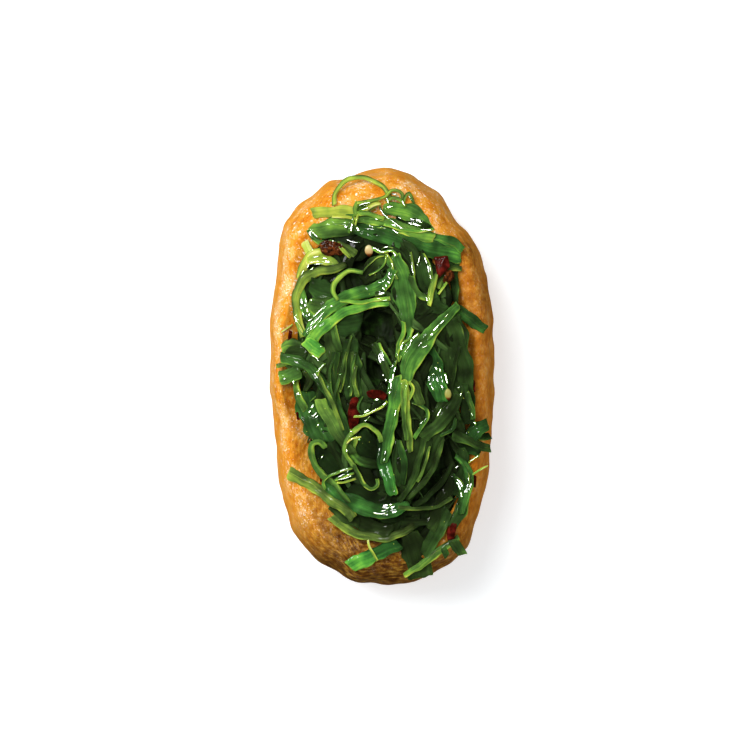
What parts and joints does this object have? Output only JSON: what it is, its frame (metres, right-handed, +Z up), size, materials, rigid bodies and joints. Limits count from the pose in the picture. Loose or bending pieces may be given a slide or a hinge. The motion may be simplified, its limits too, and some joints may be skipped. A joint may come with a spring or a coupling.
{
  "type": "inari sushi",
  "caption": "Inari sushi: an open-topped pocket of fried tofu skin with a heap of wakame seaweed salad, chilli flakes and sesame in its mouth.",
  "frame": {"origin": "middle of the underside, on the surface that it stands on", "axes": "+Y along the pouch's long side, towards the end where the salad's crown and the thin tendril lie; +X across it; +Z up"},
  "size_m": [0.0452, 0.0838, 0.0365],
  "materials": {
    "tofu_skin": "soft, oily, finely wrinkled fried tofu skin",
    "seaweed": "wet, translucent strands"
  },
  "bodies": {
    "root": {"pouch": "tofu_skin", "seaweed_salad": "seaweed"}
  },
  "joints": []
}
